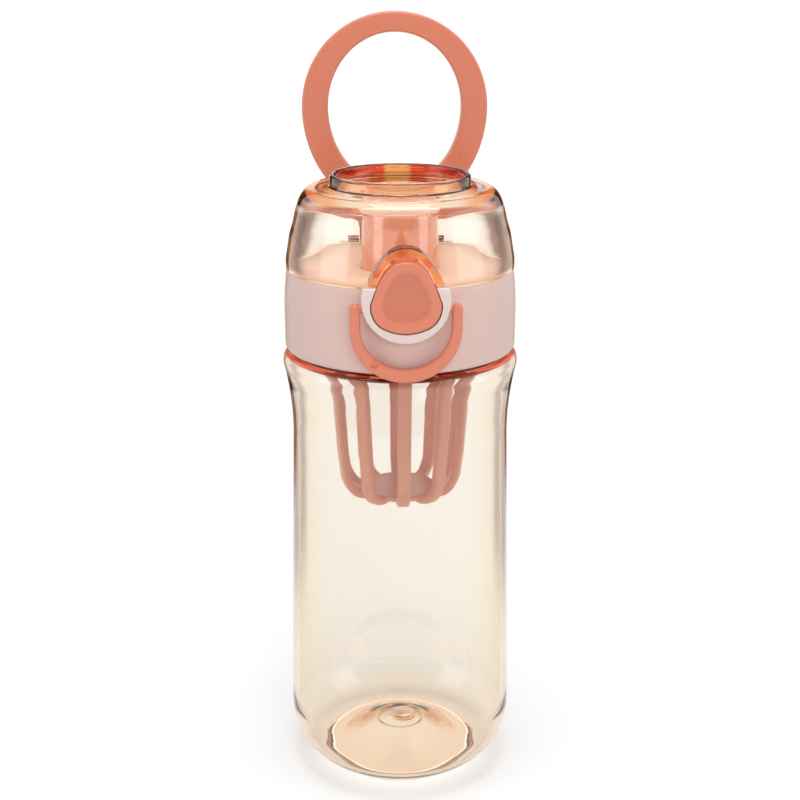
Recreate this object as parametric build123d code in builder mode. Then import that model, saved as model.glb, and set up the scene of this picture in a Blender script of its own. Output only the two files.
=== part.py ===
"""Infuser water bottle with a hinged clear lid: one separate solid for each piece, one STEP file each.

Millimetres. +Z is up and the bottle's axis is the Z axis. The table is z = 0.
The release button faces -Y, and the lid hinge and the carry loop are at +Y.
A distance called front, rear or floor is measured from the axis towards -Y, and one called back towards +Y.
"""
import math
import os

from build123d import *

# Two sizes set the rest of the bottle: the neck's radius and the height of the lip.
neck_r = 31.0
lip_z = 141.6

# bottle body
wall = 2.2
lip_reach = 6.6
lip_r = neck_r + lip_reach
waist_draw = 2.7
waist_r = lip_r - waist_draw
waist_drop = 23.1
waist_z = lip_z - waist_drop
base_draw = 0.4
base_r = lip_r - base_draw
corner_r = 18.6
corner_start_deg = 26.0
foot_inset = 14.6
foot_r = base_r - foot_inset
foot_width = 2.0
push_up_h = 8.4
push_up_r = 8.0
valley_inset = 12.7
valley_r = base_r - valley_inset
valley_z = 4.4
rise_r = 8.0
floor_h = 2.6
rise_z = push_up_h + floor_h
gate_r = 4.1
gate_h = 1.6
shoulder_h = 3.1
shoulder_z = lip_z + shoulder_h
shoulder_edge = 1.7
root_step = 3.0
root_r = neck_r + root_step
root_h = 2.7
root_top_z = shoulder_z + root_h
neck_wall = 2.4
neck_bore_r = neck_r - neck_wall
neck_h = 13.1
neck_top_z = root_top_z + neck_h
neck_edge = 0.8

# infuser basket
flange_step = 0.3
flange_r = neck_r - flange_step
flange_h = 1.4
tube_gap = 0.4
tube_r = neck_bore_r - tube_gap
tube_wall = 1.7
tube_h = 19.9
tube_low_z = neck_top_z - tube_h
rib_count = 10
rib_width = 4.2
rib_depth = 3.0
rib_draw = 5.0
rib_top_r = tube_r - rib_draw
rib_lean = 2.4
rib_foot_r = rib_top_r - rib_lean
rib_h = 33.6
rib_foot_z = tube_low_z - rib_h
rib_bend_w = 8.2
rib_bend_r = rib_foot_r - rib_bend_w
rib_bend_h = 12.3
basket_low_z = rib_foot_z - rib_bend_h
rib_turn_deg = 1.3
bowl_lap = 2.0
bowl_r = rib_bend_r + bowl_lap
bowl_rise = 3.6
bowl_lift = 1.4
bowl_wall = 1.9

# cap seal
gasket_w = 3.6
gasket_h = 1.6
gasket_gap = 0.2
seal_gap = 0.1

# threaded liner inside the collar
thread_gap = 1.5
liner_bore_r = neck_r + thread_gap
liner_wall = 1.9
liner_r = liner_bore_r + liner_wall
liner_lift = 2.0
liner_low_z = root_top_z + liner_lift
liner_plate_z = neck_top_z + flange_h + gasket_h + gasket_gap
liner_plate_h = 1.6
liner_top_z = liner_plate_z + liner_plate_h
air_hole_r = 1.1

# room for the latch between the liner and the deck
nose_clear = 0.4
nose_h = 0.8
nose_gap = 0.2
latch_h = 2.2
latch_gap = 0.5
tab_low_z = liner_top_z + nose_clear
latch_low_z = tab_low_z + nose_h + nose_gap

# collar of the cap
shell_wall = 2.38
collar_r = liner_r + shell_wall
collar_swell = 0.88
collar_rim_r = collar_r - collar_swell
collar_gap = 1.4
collar_low_z = shoulder_z + collar_gap
rim_edge = 0.45
deck_low_z = latch_low_z + latch_h + latch_gap
deck_h = 2.1
deck_z = deck_low_z + deck_h

# release button: its outline, its travel and how far it stands proud
button_w = 20.8
button_h = 21.5
button_edge = 1.0
button_travel = 1.6
button_stop = 0.2
button_proud = 1.9
button_drop = 10.1
dish_inset = 2.1
dish_slope = 0.7
dish_depth = 0.9

# boss on the front of the collar, and its trim ring
boss_wall = 2.35
boss_r = button_w / 2 + boss_wall
boss_drop = 1.5
boss_mid_z = deck_z - boss_drop
boss_rise = 2.1
boss_top_z = deck_z + boss_rise
boss_reach = 3.22
boss_front = collar_r + boss_reach
pocket_gap = 0.35
pocket_wall = 1.2
pocket_floor = liner_r + pocket_wall
bezel_lap = 0.4
bezel_r = boss_r + bezel_lap
bezel_h = 1.5
bezel_edge = 0.5
button_rear = pocket_floor + button_travel + button_stop
button_front = boss_front + button_proud
button_low_z = boss_mid_z - button_drop

# latch: the button's stem pushes a slide off the hook of the lid's strike
stem_w = 6.0
stem_h = 2.0
stem_low_z = latch_low_z + (latch_h - stem_h) / 2
stem_gap = 0.4
guide_wall = 1.2
guide_gap = 0.3
latch_inset = 1.3
latch_front = liner_r - latch_inset
latch_bar = 1.2
window_front = latch_front - latch_bar
tab_front = window_front - button_travel - guide_gap
tab_wall = 1.5
tab_rear = tab_front - tab_wall
tab_gap = 0.4
window_rear = tab_rear - tab_gap
nose_len = button_travel + tab_gap - guide_gap
latch_hook = 3.9
latch_rear = window_rear - latch_hook
tab_w = 8.0
tab_side = 0.6
window_w = tab_w + 2 * tab_side
latch_rail = 3.1
latch_w = window_w + 2 * latch_rail
bridge_h = 1.6
spring_coil_r = 1.25
spring_wire_r = 0.22
spring_turns = 5.5
spring_gap = 0.05
spring_len = 5.6
post_front = latch_rear - spring_len
post_w = 5.0
post_depth = 1.2
post_foot = 0.6
post_drop = latch_gap + latch_h + post_foot
post_gap = 0.4

# spout, inside the spring's post
spout_flange_r = post_front - post_depth - post_gap
spout_flange_h = 1.6
spout_step = 2.0
spout_skirt_r = spout_flange_r - spout_step
skirt_wall = 1.7
spout_funnel_r = spout_skirt_r - skirt_wall
skirt_step = 2.6
spout_r = spout_skirt_r - skirt_step
spout_taper = 0.9
spout_top_r = spout_r - spout_taper
spout_wall = 4.8
spout_bore_r = spout_r - spout_wall
spout_h = 21.9
spout_top_z = deck_z + spout_h
spout_edge = 0.9
spout_fit = 0.15

# vent valve
vent_reach = 5.5
vent_back = spout_flange_r + vent_reach
vent_r = 2.0
vent_head_r = 3.3
vent_head_h = 0.9
vent_barb_r = 2.8
vent_barb_h = 1.3

# lid
lid_gap = 0.3
lid_low_z = deck_z + lid_gap
lid_overhang = 0.18
dome_r = collar_rim_r + lid_overhang
dome_wall = 2.2
seal_inset = 2.1
seal_r = spout_top_r - seal_inset
seal_h = 2.0
seal_pocket_h = 0.8
hollow_top_z = spout_top_z + seal_h + 2 * seal_gap - seal_pocket_h
dome_top_z = hollow_top_z + dome_wall
knob_inset = 14.03
knob_r = dome_r - knob_inset
knob_h = 3.8
knob_top_z = dome_top_z + knob_h
knob_wall = 1.5
knob_edge = 0.6
knob_step = 0.2
knob_floor_z = dome_top_z + knob_step
lid_ring_h = 2.6
lid_ring_wall = 0.7
lid_ring_fit = 0.1
hood_side = 1.2
hood_w = button_w + hood_side
hood_foot_z = boss_top_z + lid_gap
hood_rise = 3.45
hood_top_z = button_low_z + button_h + hood_rise
hood_proud = 0.5
hood_front = boss_front + hood_proud
hood_gap = 0.45
hood_edge = 0.6
window_wall = 1.32
hood_floor = dome_r - dome_wall + window_wall

# hinge
loop_depth = 6.2
hinge_gap = 0.32
pin_back = collar_r + hinge_gap + loop_depth / 2
pin_drop = 3.5
pin_z = deck_z - pin_drop
pin_r = 1.5
pin_fit = 0.06
press_fit = 0.02
pin_end = 0.3
knuckle_r = 3.2
knuckle_w = 4.0
knuckle_gap = 0.3
arm_root = 5.58
arm_root_back = dome_r - arm_root
arm_neck = 1.48
arm_neck_back = dome_r - arm_neck
arm_h = 6.2
arm_top_z = lid_low_z + arm_h
ear_r = 3.4
ear_w = 3.2
ear_drop = 4.8
ear_root = 11.38
ear_root_back = collar_r - ear_root
torsion_coil_r = 2.3
torsion_wire_r = 0.34
torsion_pitch = 1.1
torsion_turns = 4.75
torsion_leg = 3.2
foot_lap = 0.28
torsion_foot = pin_back - collar_r + foot_lap

# carry loop
loop_lift = 16.1
loop_mid_z = knob_top_z + loop_lift
loop_r = 30.9
loop_low_h = 35.6
loop_band = 8.7
loop_hole_r = loop_r - loop_band
loop_band_top = 6.5
loop_hole_top_h = loop_r - loop_band_top
loop_band_low = 9.1
loop_hole_low_h = loop_low_h - loop_band_low
loop_edge = 2.0
tongue_w = 25.2
tongue_drop = 26.9
tongue_top_z = loop_mid_z - tongue_drop
tongue_flare = 2.6
notch_w = 7.0
notch_h = 4.6

# lock bail
bail_arm = 3.2
bail_gap = 0.28
bail_w = 2 * (bezel_r + bail_gap + bail_arm)
bail_bar = 4.0
bail_clear = 0.42
bail_rear = collar_r + bail_clear
bail_depth = 3.2
pivot_drop = 3.1
pivot_z = boss_mid_z - pivot_drop
bail_drop = 22.3
bail_low_z = pivot_z - bail_drop
bail_edge = 0.7
bail_pin_r = 0.95
bail_pin_fit = 0.05
bail_pin_grip = 1.75
bail_pin_in_x = boss_r - bail_pin_grip
bail_pin_end = 0.43
bail_pin_out_x = bail_w / 2 - bail_pin_end

# One overrun serves all cuts.
overrun = 1.0

# Half outline of the button from its lowest point up: share of half width, share of height.
button_shares = (
    (0.00, 0.000), (0.39, 0.028), (0.73, 0.105), (0.925, 0.225), (1.00, 0.373),
    (0.94, 0.495), (0.79, 0.675), (0.58, 0.855), (0.32, 0.965), (0.00, 1.000),
)
# Flare under the lip: share of the height from waist to lip, share of the growth in radius.
flare_shares = (
    (0.22, 0.055), (0.40, 0.175), (0.52, 0.310), (0.64, 0.440), (0.75, 0.600),
    (0.87, 0.780), (0.95, 0.930),
)
# Outside of the dome: share of its height, share of its radius.
dome_shares = (
    (0.000, 1.000), (0.110, 1.000), (0.264, 0.983), (0.417, 0.964), (0.571, 0.933),
    (0.710, 0.911), (0.790, 0.893), (0.868, 0.872), (0.930, 0.845), (0.975, 0.812),
    (1.000, 0.775),
)
# Inside of the dome: share of its inner height, share of its inner radius.
hollow_shares = (
    (0.000, 1.000), (0.130, 1.000), (0.310, 0.980), (0.480, 0.958), (0.650, 0.926),
    (0.800, 0.890), (0.920, 0.835), (1.000, 0.740),
)
# Outside of the collar: share of its height, share of its swell beyond the rim.
collar_shares = ((0.00, 0.00), (0.02, 0.62), (0.06, 0.92), (0.30, 0.97), (0.50, 1.00), (0.75, 0.65))
# Half outline of the hood from its top down: share of half width, share of height.
hood_shares = ((0.00, 1.000), (0.225, 0.973), (0.50, 0.825), (0.775, 0.495), (0.975, 0.130), (1.00, 0.000))


def straight(points):
    """Straight lines through a list of points."""
    for a, b in zip(points, points[1:]):
        Line(a, b)


def turn(points):
    """A ring or disc turned from a closed list of (radius, z) points."""
    with BuildPart() as turned:
        with BuildSketch(Plane.XZ):
            with BuildLine():
                Polyline(*points, close=True)
            make_face()
        revolve(axis=Axis.Z)
    return turned.part


def disc(inner_r, outer_r, low_z, height):
    """A flat ring about the axis."""
    return turn([(inner_r, low_z), (outer_r, low_z), (outer_r, low_z + height), (inner_r, low_z + height)])


def button_outline(gap):
    """The button's outline, grown by a gap on every side."""
    half = button_w / 2 + gap
    tall = button_h + 2 * gap
    right = [(x * half, button_low_z - gap + z * tall) for x, z in button_shares]
    left = [(-x, z) for x, z in right[-2:0:-1]]
    return right + left


def front_block(width, low_z, height, rear, front, mid_x=0):
    """A block between two distances in front of the axis."""
    with BuildPart() as block:
        with BuildSketch(Plane.XZ.offset(rear)):
            with Locations((mid_x, low_z + height / 2)):
                Rectangle(width, height)
        extrude(amount=front - rear)
    return block.part


def cross_rod(radius, back, z, x_from, x_to):
    """A round rod along X."""
    with BuildPart() as rod:
        with BuildSketch(Plane.YZ.offset(x_from)):
            with Locations((back, z)):
                Circle(radius)
        extrude(amount=x_to - x_from)
    return rod.part


def side_plate(points, x_from, x_to):
    """A plate across X with an outline of (back, z) points."""
    with BuildPart() as plate:
        with BuildSketch(Plane.YZ.offset(x_from)):
            with BuildLine():
                Polyline(*points, close=True)
            make_face()
        extrude(amount=x_to - x_from)
    return plate.part


def coil(radius, wire_r, pitch, turns, leg=0, foot=0):
    """A wound wire about the Z axis that starts on +X, with a straight leg before it and a foot after it."""
    with BuildPart() as wound:
        with BuildLine() as wire:
            turns_of_wire = Helix(pitch=pitch, height=pitch * turns, radius=radius)
            tip = turns_of_wire @ 0 - (turns_of_wire % 0) * leg
            if leg > 0:
                Line(tip, turns_of_wire @ 0)
            if foot > 0:
                Line(turns_of_wire @ 1, turns_of_wire @ 1 + (turns_of_wire % 1) * foot)
        with BuildSketch(Plane(origin=tip, z_dir=turns_of_wire % 0)):
            Circle(wire_r)
        sweep(path=wire.wires()[0], is_frenet=True)
    return wound.part


def is_round(edge):
    """True for a curved edge."""
    return edge.geom_type != GeomType.LINE


def finish(piece, name):
    """Label a finished piece and write its file."""
    piece.part.label = name
    export_step(piece.part, f"parts/{name}.step")


os.makedirs("parts", exist_ok=True)

# The bottle: a round shell with a domed floor, a flared lip and a neck.
start = math.radians(corner_start_deg)
middle = math.radians((corner_start_deg + 90) / 2)
corner_mid_r = base_r - corner_r
corner_low = (corner_mid_r + corner_r * math.sin(start), corner_r * (1 - math.cos(start)))
corner_half = (corner_mid_r + corner_r * math.sin(middle), corner_r * (1 - math.cos(middle)))
flare_h = lip_z - waist_z
flare_out = lip_r - waist_r
flare = [(waist_r, waist_z)]
flare += [(waist_r + out * flare_out, waist_z + up * flare_h) for up, out in flare_shares]
flare += [(lip_r, lip_z), (lip_r - shoulder_edge, shoulder_z)]
inner_lip = (lip_r - wall, lip_z - wall)
gate_top_z = rise_z + gate_h
with BuildPart() as bottle_body:
    with BuildSketch(Plane.XZ):
        with BuildLine():
            Spline((0, push_up_h), (push_up_r, push_up_h - foot_width / 2), (foot_r - foot_width, 0))
            Line((foot_r - foot_width, 0), (foot_r, 0))
            Line((foot_r, 0), corner_low)
            ThreePointArc(corner_low, corner_half, (base_r, corner_r))
            Line((base_r, corner_r), (waist_r, waist_z))
            Spline(*flare)
            straight([
                flare[-1], (root_r, shoulder_z), (root_r, root_top_z), (neck_r, root_top_z),
                (neck_r, neck_top_z - neck_edge), (neck_r - neck_edge, neck_top_z),
                (neck_bore_r, neck_top_z), (neck_bore_r, root_top_z),
            ])
            Spline((neck_bore_r, root_top_z), inner_lip, tangents=((0, -1), (-flare_out, -flare_h / 2)))
            Spline(inner_lip, (waist_r - wall, waist_z), tangents=((-flare_out, -flare_h / 2), (0, -1)))
            Line((waist_r - wall, waist_z), (base_r - wall, corner_r))
            Spline((base_r - wall, corner_r), (valley_r, valley_z), tangents=((0, -1), (-1, 0)))
            Spline((valley_r, valley_z), (rise_r, rise_z), tangents=((-1, 0), (-1, 0)))
            straight([
                (rise_r, rise_z), (gate_r, rise_z), (gate_r, gate_top_z), (0, gate_top_z), (0, push_up_h),
            ])
        make_face()
    revolve(axis=Axis.Z)
finish(bottle_body, "bottle_body")

# The infuser basket: a sleeve and flange in the neck, ten ribs and a bowl.
sleeve_r = tube_r - tube_wall
flange_top_z = neck_top_z + flange_h
rib_top_z = tube_low_z + flange_h
flare_z = tube_low_z - 3 * tube_wall
lean = (rib_top_r - rib_foot_r) / (flare_z - rib_foot_z)
bowl_z = basket_low_z + bowl_lift
hub_r = bowl_r / 3
with BuildPart() as rib:
    with BuildSketch(Plane.XZ):
        with BuildLine():
            Line((sleeve_r, rib_top_z), (tube_r, rib_top_z))
            Line((tube_r, rib_top_z), (tube_r, tube_low_z))
            Spline((tube_r, tube_low_z), (rib_top_r, flare_z), tangents=((-1, -1), (-lean, -1)))
            Line((rib_top_r, flare_z), (rib_foot_r, rib_foot_z))
            Spline((rib_foot_r, rib_foot_z), (rib_bend_r, basket_low_z), tangents=((-lean, -1), (-1, 0)))
            straight([
                (rib_bend_r, basket_low_z), (hub_r, bowl_z), (hub_r, bowl_z + bowl_wall),
                (rib_bend_r, basket_low_z + rib_depth),
            ])
            Spline(
                (rib_bend_r, basket_low_z + rib_depth), (rib_foot_r - rib_depth, rib_foot_z),
                tangents=((1, 0), (lean, 1)),
            )
            Line((rib_foot_r - rib_depth, rib_foot_z), (rib_top_r - rib_depth, flare_z))
            Spline((rib_top_r - rib_depth, flare_z), (sleeve_r, rib_top_z), tangents=((lean, 1), (1, 1)))
        make_face()
    extrude(amount=rib_width / 2, both=True)
sleeve = turn([
    (sleeve_r, tube_low_z), (tube_r, tube_low_z), (tube_r, neck_top_z), (flange_r, neck_top_z),
    (flange_r, flange_top_z), (sleeve_r, flange_top_z),
])
bowl = turn([
    (0, bowl_z), (bowl_r / 2, bowl_z), (bowl_r, bowl_z + bowl_rise),
    (bowl_r - bowl_wall / 2, bowl_z + bowl_rise + bowl_wall), (bowl_r / 2, bowl_z + bowl_wall),
    (0, bowl_z + bowl_wall),
])
with BuildPart() as infuser_basket:
    add(sleeve)
    add(bowl)
    for n in range(rib_count):
        add(rib.part, rotation=(0, 0, rib_turn_deg - 90 + n * 360 / rib_count))
finish(infuser_basket, "infuser_basket")

with BuildPart() as cap_gasket:
    add(disc(neck_r - gasket_w, neck_r, flange_top_z, gasket_h))
finish(cap_gasket, "cap_gasket")

# The collar: a turned shell with a deck, a boss for the button and two hinge ears.
rim_low = (collar_rim_r, deck_z - rim_edge)
collar_side = [
    (collar_rim_r + out * collar_swell, collar_low_z + up * (deck_z - collar_low_z))
    for up, out in collar_shares
]
deck_hole_r = spout_r + spout_fit
pivot_front = bail_rear + bail_depth / 2
knuckle_in_x = tongue_w / 2 + knuckle_gap
knuckle_out_x = knuckle_in_x + knuckle_w
ear_in_x = knuckle_out_x + knuckle_gap
ear_out_x = ear_in_x + ear_w
ear_low_z = pin_z - ear_drop
slot_rear = tab_rear - nose_len - stem_gap
ear_outline = [
    (ear_root_back, ear_low_z), (pin_back - ear_r, ear_low_z), (pin_back, pin_z - ear_r),
    (pin_back, pin_z + ear_r), (ear_root_back, pin_z + ear_r),
]
ears = []
for side in (-1, 1):
    ears.append(side_plate(ear_outline, side * ear_in_x, side * ear_out_x))
    ears.append(cross_rod(ear_r, pin_back, pin_z, side * ear_in_x, side * ear_out_x))
pivot_holes = [
    cross_rod(bail_pin_r + press_fit, -pivot_front, pivot_z, side * bail_pin_in_x, side * bail_pin_out_x)
    for side in (-1, 1)
]
guide_x = latch_w / 2 + guide_gap + guide_wall / 2
guides = [
    front_block(guide_wall, latch_low_z, deck_low_z - latch_low_z, latch_rear, window_front, side * guide_x)
    for side in (-1, 1)
]
pin_hole = cross_rod(pin_r + press_fit, pin_back, pin_z, -ear_out_x, ear_out_x)
post = front_block(post_w, deck_low_z - post_drop, post_drop, post_front - post_depth, post_front)
stem_hole = front_block(
    stem_w + 2 * stem_gap, stem_low_z - stem_gap, stem_h + 2 * stem_gap, latch_front - stem_gap, boss_front
)
tab_slot = front_block(tab_w + 2 * stem_gap, deck_low_z, deck_h, slot_rear, tab_front + stem_gap)
with BuildPart() as cap_shell:
    with BuildSketch(Plane.XZ.offset(latch_front)):
        with Locations((0, boss_mid_z)):
            Circle(boss_r)
    extrude(amount=boss_front - latch_front)
    with BuildSketch(Plane.XZ.offset(latch_front)):
        with Locations((0, boss_top_z + boss_r / 2)):
            Rectangle(2 * boss_r, boss_r)
    extrude(amount=boss_front - latch_front, mode=Mode.SUBTRACT)
    with BuildSketch(Plane.XY.offset(deck_z)):
        Circle(dome_r + lid_gap)
    extrude(amount=boss_top_z - deck_z, mode=Mode.SUBTRACT)
    add(ears)
    with BuildSketch(Plane.XY.offset(collar_low_z)):
        Circle(liner_r)
    extrude(amount=deck_z - collar_low_z, mode=Mode.SUBTRACT)
    with BuildSketch(Plane.XZ):
        with BuildLine():
            Spline(*collar_side, rim_low)
            straight([
                rim_low, (collar_rim_r - rim_edge, deck_z), (deck_hole_r, deck_z), (deck_hole_r, deck_low_z),
                (liner_r, deck_low_z), (liner_r, collar_low_z), collar_side[0],
            ])
        make_face()
    revolve(axis=Axis.Z)
    add([post] + guides)
    with BuildSketch(Plane.XZ.offset(pocket_floor)):
        with BuildLine():
            Spline(*button_outline(pocket_gap), periodic=True)
        make_face()
    extrude(amount=boss_front - pocket_floor, mode=Mode.SUBTRACT)
    add([stem_hole, tab_slot, pin_hole] + pivot_holes, mode=Mode.SUBTRACT)
    with BuildSketch(Plane.XY.offset(deck_low_z)):
        with Locations((0, vent_back)):
            Circle(vent_r + press_fit)
    extrude(amount=deck_h, mode=Mode.SUBTRACT)
finish(cap_shell, "cap_shell")

# The liner carries the neck's thread and closes the cap under the latch.
liner_hole_r = spout_skirt_r + spout_fit
with BuildPart() as cap_liner:
    add(turn([
        (liner_hole_r, liner_plate_z), (liner_bore_r, liner_plate_z), (liner_bore_r, liner_low_z),
        (liner_r, liner_low_z), (liner_r, liner_top_z), (liner_hole_r, liner_top_z),
    ]))
    with BuildSketch(Plane.XY.offset(liner_plate_z)):
        with Locations((0, vent_back)):
            Circle(air_hole_r)
    extrude(amount=liner_plate_h, mode=Mode.SUBTRACT)
finish(cap_liner, "cap_liner")

# The spout's flange is clamped under the deck, on a rubber ring.
flange_low_z = deck_low_z - spout_flange_h
with BuildPart() as spout:
    add(turn([
        (spout_bore_r, spout_top_z - spout_edge), (spout_bore_r, deck_low_z), (spout_funnel_r, liner_plate_z),
        (spout_skirt_r, liner_plate_z), (spout_skirt_r, flange_low_z), (spout_flange_r, flange_low_z),
        (spout_flange_r, deck_low_z), (spout_r, deck_low_z), (spout_r, deck_z + spout_edge),
        (spout_top_r, spout_top_z - spout_edge), (spout_top_r - spout_edge, spout_top_z),
        (spout_bore_r + spout_edge, spout_top_z),
    ]))
finish(spout, "spout")

with BuildPart() as spout_gasket:
    add(disc(spout_skirt_r, spout_flange_r, liner_top_z, flange_low_z - liner_top_z))
finish(spout_gasket, "spout_gasket")

with BuildPart() as vent_valve:
    for low_z, radius, height in (
        (deck_z, vent_head_r, vent_head_h),
        (deck_low_z, vent_r, deck_h),
        (deck_low_z - vent_barb_h, vent_barb_r, vent_barb_h),
    ):
        with BuildSketch(Plane.XY.offset(low_z)):
            with Locations((0, vent_back)):
                Circle(radius)
        extrude(amount=height)
    fillet(vent_valve.faces().sort_by(Axis.Z)[-1].edges(), vent_head_h / 2)
finish(vent_valve, "vent_valve")

with BuildPart() as button_bezel:
    with BuildSketch(Plane.XZ.offset(boss_front)):
        with Locations((0, boss_mid_z)):
            Circle(bezel_r)
        with Locations((0, boss_top_z + bezel_r / 2)):
            Rectangle(2 * bezel_r, bezel_r, mode=Mode.SUBTRACT)
    extrude(amount=bezel_h)
    fillet(button_bezel.faces().sort_by(Axis.Y)[0].edges().filter_by(GeomType.CIRCLE), bezel_edge)
    with BuildSketch(Plane.XZ.offset(boss_front)):
        with BuildLine():
            Spline(*button_outline(pocket_gap), periodic=True)
        make_face()
    extrude(amount=bezel_h, mode=Mode.SUBTRACT)
finish(button_bezel, "button_bezel")

# The release button has a shallow dish and a stem that pushes the latch slide.
stem = front_block(stem_w, stem_low_z, stem_h, latch_front, button_rear)
with BuildPart() as release_button:
    with BuildSketch(Plane.XZ.offset(button_rear)):
        with BuildLine():
            Spline(*button_outline(0), periodic=True)
        make_face()
    extrude(amount=button_front - button_rear)
    fillet(release_button.faces().sort_by(Axis.Y)[0].edges(), button_edge)
    for depth, inset in ((0, dish_inset), (dish_depth, dish_inset + dish_slope)):
        with BuildSketch(Plane.XZ.offset(button_front - depth)):
            with BuildLine():
                Spline(*button_outline(-inset), periodic=True)
            make_face()
    loft(mode=Mode.SUBTRACT)
    add(stem)
finish(release_button, "release_button")

window = front_block(window_w, latch_low_z, latch_h, window_rear, window_front)
with BuildPart() as latch_slide:
    add(front_block(latch_w, latch_low_z, latch_h, latch_rear, latch_front))
    add(window, mode=Mode.SUBTRACT)
finish(latch_slide, "latch_slide")

# A small coil spring between the post and the slide pushes the button out again.
coil_from = post_front + spring_wire_r + spring_gap
coil_pitch = (latch_rear - post_front - 2 * (spring_wire_r + spring_gap)) / spring_turns
coil_plane = Plane(origin=(0, -coil_from, latch_low_z + latch_h / 2), x_dir=(1, 0, 0), z_dir=(0, -1, 0))
button_coil = coil(spring_coil_r, spring_wire_r, coil_pitch, spring_turns)
with BuildPart() as button_spring:
    add(coil_plane.location * button_coil)
finish(button_spring, "button_spring")
print("button spring, gap between turns:", round(coil_pitch - 2 * spring_wire_r, 2))

# The lid: a clear dome with a hollow knob, a hood over the button and two hinge arms.
dome_side = [(share * dome_r, lid_low_z + up * (dome_top_z - lid_low_z)) for up, share in dome_shares]
hollow_r = dome_r - dome_wall
hollow_side = [(share * hollow_r, lid_low_z + up * (hollow_top_z - lid_low_z)) for up, share in hollow_shares]
hood_right = [
    (share * hood_w / 2, hood_foot_z + up * (hood_top_z - hood_foot_z)) for share, up in hood_shares
]
hood_left = [(-x, z) for x, z in hood_right[:0:-1]]
arm_outline = [
    (arm_root_back, lid_low_z), (arm_root_back, arm_top_z), (arm_neck_back, arm_top_z),
    (pin_back + knuckle_r, pin_z), (pin_back - knuckle_r, pin_z), (arm_neck_back, lid_low_z),
]
arms = []
for side in (-1, 1):
    arms.append(side_plate(arm_outline, side * knuckle_in_x, side * knuckle_out_x))
    arms.append(cross_rod(knuckle_r, pin_back, pin_z, side * knuckle_in_x, side * knuckle_out_x))
lid_pin_hole = cross_rod(pin_r + pin_fit, pin_back, pin_z, -knuckle_out_x, knuckle_out_x)
seal_pocket = disc(0, seal_r + seal_gap, hollow_top_z, seal_pocket_h)
with BuildPart() as lid_dome:
    with BuildSketch(Plane.XZ.offset(hood_floor - dome_wall)):
        with BuildLine():
            Spline(*hood_left, *hood_right)
            Line(hood_right[-1], hood_left[0])
        make_face()
    extrude(amount=hood_front - hood_floor + dome_wall)
    fillet(lid_dome.faces().sort_by(Axis.Y)[0].edges().sort_by(Axis.Z)[-1], hood_edge)
    add(arms)
    with BuildSketch(Plane.XZ):
        with BuildLine():
            Spline(*hollow_side)
            straight([hollow_side[-1], (0, hollow_top_z), (0, lid_low_z), hollow_side[0]])
        make_face()
    revolve(axis=Axis.Z, mode=Mode.SUBTRACT)
    with BuildSketch(Plane.XZ):
        with BuildLine():
            Spline(*dome_side)
            straight([dome_side[-1], (0, dome_top_z), (0, hollow_top_z), hollow_side[-1]])
            Spline(*hollow_side)
            Line(hollow_side[0], dome_side[0])
        make_face()
    revolve(axis=Axis.Z)
    with BuildSketch(Plane.XZ):
        with BuildLine():
            Polyline(
                (0, hollow_top_z + seal_pocket_h), (knob_r, dome_top_z), (knob_r, knob_top_z - knob_edge),
                (knob_r - knob_edge, knob_top_z), (knob_r - knob_wall, knob_top_z),
                (knob_r - knob_wall, knob_floor_z), (0, knob_floor_z), close=True,
            )
        make_face()
    revolve(axis=Axis.Z)
    with BuildSketch(Plane.XZ.offset(hood_floor)):
        with BuildLine():
            Spline(*button_outline(hood_gap), periodic=True)
        make_face()
    extrude(amount=hood_front - hood_floor + overrun, mode=Mode.SUBTRACT)
    add([lid_pin_hole, seal_pocket], mode=Mode.SUBTRACT)
finish(lid_dome, "lid_dome")

lid_ring_r = knob_r - knob_wall - lid_ring_fit
with BuildPart() as lid_ring:
    add(disc(lid_ring_r - lid_ring_wall, lid_ring_r, knob_floor_z, lid_ring_h))
finish(lid_ring, "lid_ring")

with BuildPart() as lid_seal:
    add(disc(0, seal_r, spout_top_z + seal_gap, seal_h))
finish(lid_seal, "lid_seal")

# The latch strike hangs from the front of the dome and hooks under the slide.
bridge = front_block(tab_w, lid_low_z, bridge_h, tab_rear, hollow_r)
with BuildPart() as latch_strike:
    add(bridge)
    with BuildSketch(Plane.XY.offset(lid_low_z)):
        Circle(hollow_r - seal_gap)
    extrude(amount=bridge_h, mode=Mode.INTERSECT)
    add(front_block(tab_w, tab_low_z, lid_low_z - tab_low_z, tab_rear, tab_front))
    add(front_block(tab_w, tab_low_z, nose_h, tab_rear - nose_len, tab_rear))
finish(latch_strike, "latch_strike")

with BuildPart() as hinge_pin:
    add(cross_rod(pin_r, pin_back, pin_z, -ear_out_x - pin_end, ear_out_x + pin_end))
    chamfer(hinge_pin.edges().filter_by(GeomType.CIRCLE), pin_end)
finish(hinge_pin, "hinge_pin")

# The hinge spring winds round the pin between the loop's two knuckles, with a leg up and a foot forwards.
torsion_len = torsion_pitch * torsion_turns
torsion_plane = Plane(origin=(-torsion_len / 2, pin_back, pin_z), x_dir=(0, -1, 0), z_dir=(1, 0, 0))
torsion_coil = coil(
    torsion_coil_r, torsion_wire_r, torsion_pitch, torsion_turns, torsion_leg, torsion_foot
)
with BuildPart() as hinge_spring:
    add(torsion_plane.location * torsion_coil)
finish(hinge_spring, "hinge_spring")
print("hinge spring, gap between turns:", round(torsion_pitch - 2 * torsion_wire_r, 2))

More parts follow.
